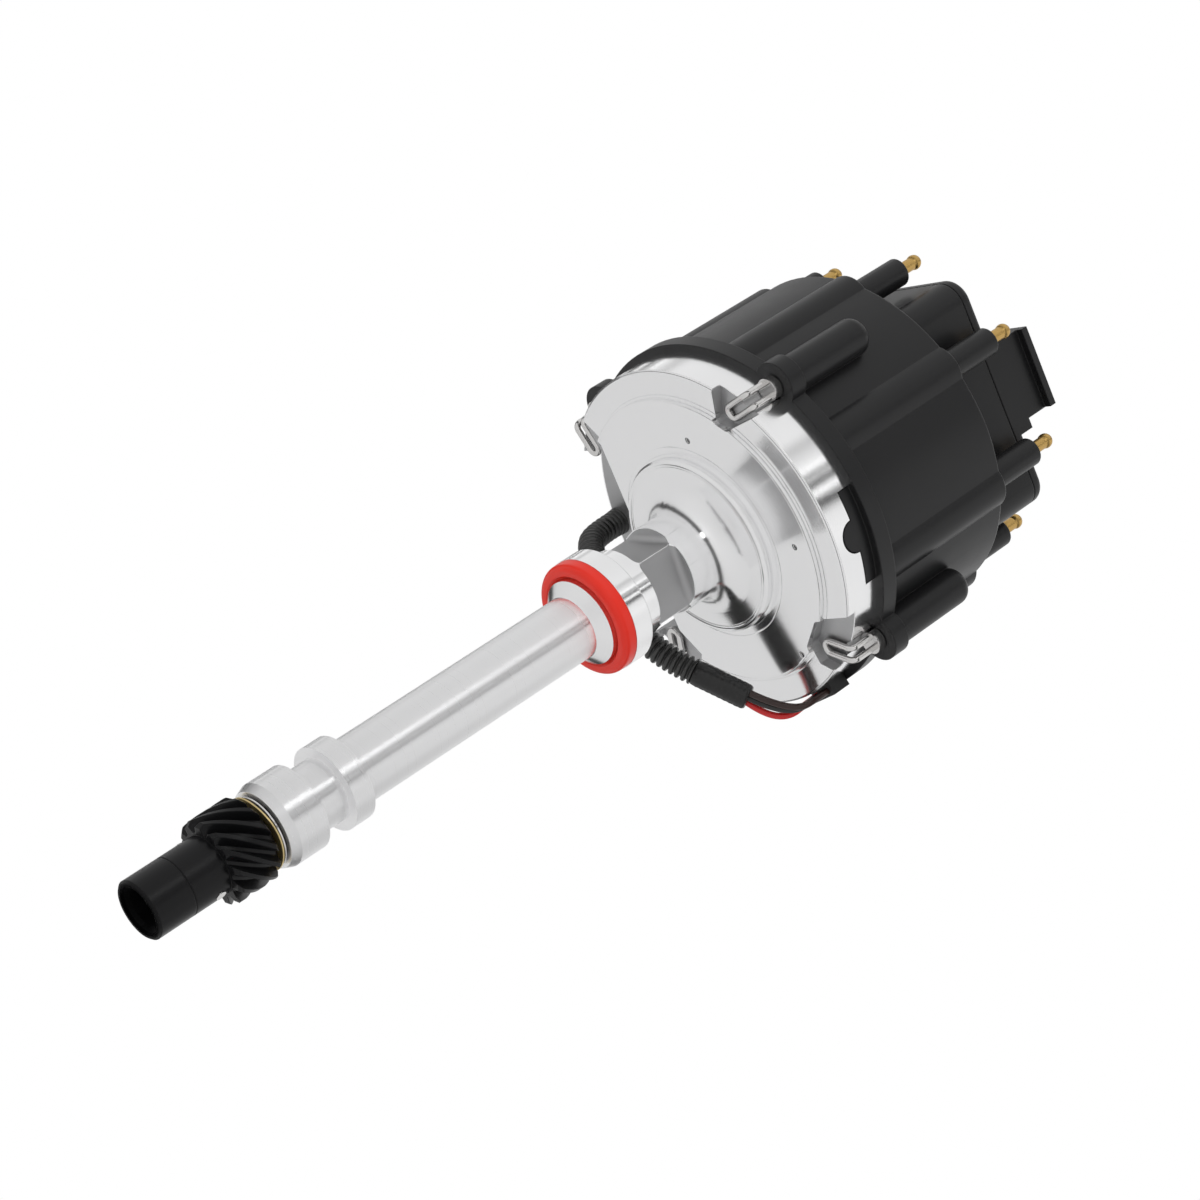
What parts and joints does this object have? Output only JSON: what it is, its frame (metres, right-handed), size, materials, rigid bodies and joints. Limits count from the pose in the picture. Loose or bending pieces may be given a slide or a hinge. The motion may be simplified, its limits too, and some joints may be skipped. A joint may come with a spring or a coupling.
{
  "type": "ignition distributor",
  "caption": "Engine ignition distributor with drive gear, flanged aluminium housing, latched black cap, coil under a cover, brass plug-lead terminals and a harness.",
  "frame": {"origin": "centre of the hold-down flange's underside, on the shaft's axis", "axes": "+Z along the shaft from the drive gear to the cap; the latches stand at 45, 135, 225 and 315 degrees from +X"},
  "size_m": [0.1453, 0.1449, 0.414],
  "materials": {
    "polished_aluminium": "polished, turned",
    "red_rubber": "smooth",
    "bronze": "sintered",
    "plated_steel": "zinc plated",
    "dark_steel": "ground",
    "black_plastic": "satin moulded",
    "brass": "satin",
    "carbon": "dull",
    "spring_steel": "bright",
    "black_rubber": "dull",
    "loom_plastic": "corrugated",
    "red_insulation": "smooth",
    "black_insulation": "smooth",
    "brown_insulation": "smooth",
    "black_oxide": "black oxide, satin"
  },
  "bodies": {
    "housing_assembly": {"housing": "polished_aluminium", "flange_seal": "red_rubber", "lower_bushing": "bronze", "upper_bushing": "bronze", "pickup_base": "plated_steel", "pickup_coil": "black_plastic", "ring_magnet": "dark_steel", "pole_piece": "plated_steel", "ignition_module": "black_plastic", "module_screws": "plated_steel", "capacitor": "plated_steel", "cap": "black_plastic", "cap_terminals": "brass", "carbon_button": "carbon", "button_spring": "spring_steel", "coil_seal": "black_rubber", "ignition_coil": "black_plastic", "coil_core": "dark_steel", "coil_screws": "plated_steel", "coil_cover": "black_plastic", "cover_screws": "plated_steel", "latch_springs": "spring_steel", "harness_plug": "black_plastic", "loom": "loom_plastic", "heat_shrink": "black_rubber", "red_lead": "red_insulation", "black_lead": "black_insulation", "brown_lead": "brown_insulation", "grommet": "black_rubber"},
    "shaft": {"main_shaft": "dark_steel", "drive_gear": "black_oxide", "gear_pin": "spring_steel", "gear_shim": "brass", "thrust_washer": "spring_steel", "advance_cam": "dark_steel"},
    "advance": {"timer_core": "dark_steel", "weight_base": "plated_steel", "weight_pins": "spring_steel", "rotor": "black_plastic", "rotor_screws": "plated_steel", "rotor_blade": "brass"},
    "weight_1": {"advance_weight_1": "plated_steel"},
    "weight_2": {"advance_weight_2": "plated_steel"},
    "latch_1": {"latch_1": "spring_steel"},
    "latch_2": {"latch_2": "spring_steel"},
    "latch_3": {"latch_3": "spring_steel"},
    "latch_4": {"latch_4": "spring_steel"}
  },
  "joints": [
    {"name": "shaft_spin", "type": "hinge", "parent": "housing_assembly", "child": "shaft", "pos_m": [0, 0, 0], "axis": [0, 0, 1], "continuous": true},
    {"name": "advance_turn", "type": "hinge", "parent": "shaft", "child": "advance", "pos_m": [0, 0, 0.1], "axis": [0, 0, 1], "range_deg": [0, 10], "stiffness_Nm_per_rad": 0.1},
    {"name": "weight_1_swing", "type": "hinge", "parent": "advance", "child": "weight_1", "pos_m": [0.022, 0, 0.103], "axis": [0, 0, -1], "range_deg": [0, 12]},
    {"name": "weight_2_swing", "type": "hinge", "parent": "advance", "child": "weight_2", "pos_m": [-0.022, 0, 0.103], "axis": [0, 0, -1], "range_deg": [0, 12]},
    {"name": "latch_1_turn", "type": "hinge", "parent": "housing_assembly", "child": "latch_1", "pos_m": [0.05112, 0.05112, 0.1], "axis": [0, 0, 1], "range_deg": [0, 116]},
    {"name": "latch_2_turn", "type": "hinge", "parent": "housing_assembly", "child": "latch_2", "pos_m": [-0.05112, 0.05112, 0.1], "axis": [0, 0, 1], "range_deg": [0, 62]},
    {"name": "latch_3_turn", "type": "hinge", "parent": "housing_assembly", "child": "latch_3", "pos_m": [-0.05112, -0.05112, 0.1], "axis": [0, 0, 1], "range_deg": [0, 62]},
    {"name": "latch_4_turn", "type": "hinge", "parent": "housing_assembly", "child": "latch_4", "pos_m": [0.05112, -0.05112, 0.1], "axis": [0, 0, 1], "range_deg": [0, 116]}
  ],
  "couplings": [
    {"joint": "weight_1_swing", "follows": "advance_turn", "ratio": 1.2},
    {"joint": "weight_2_swing", "follows": "advance_turn", "ratio": 1.2}
  ]
}
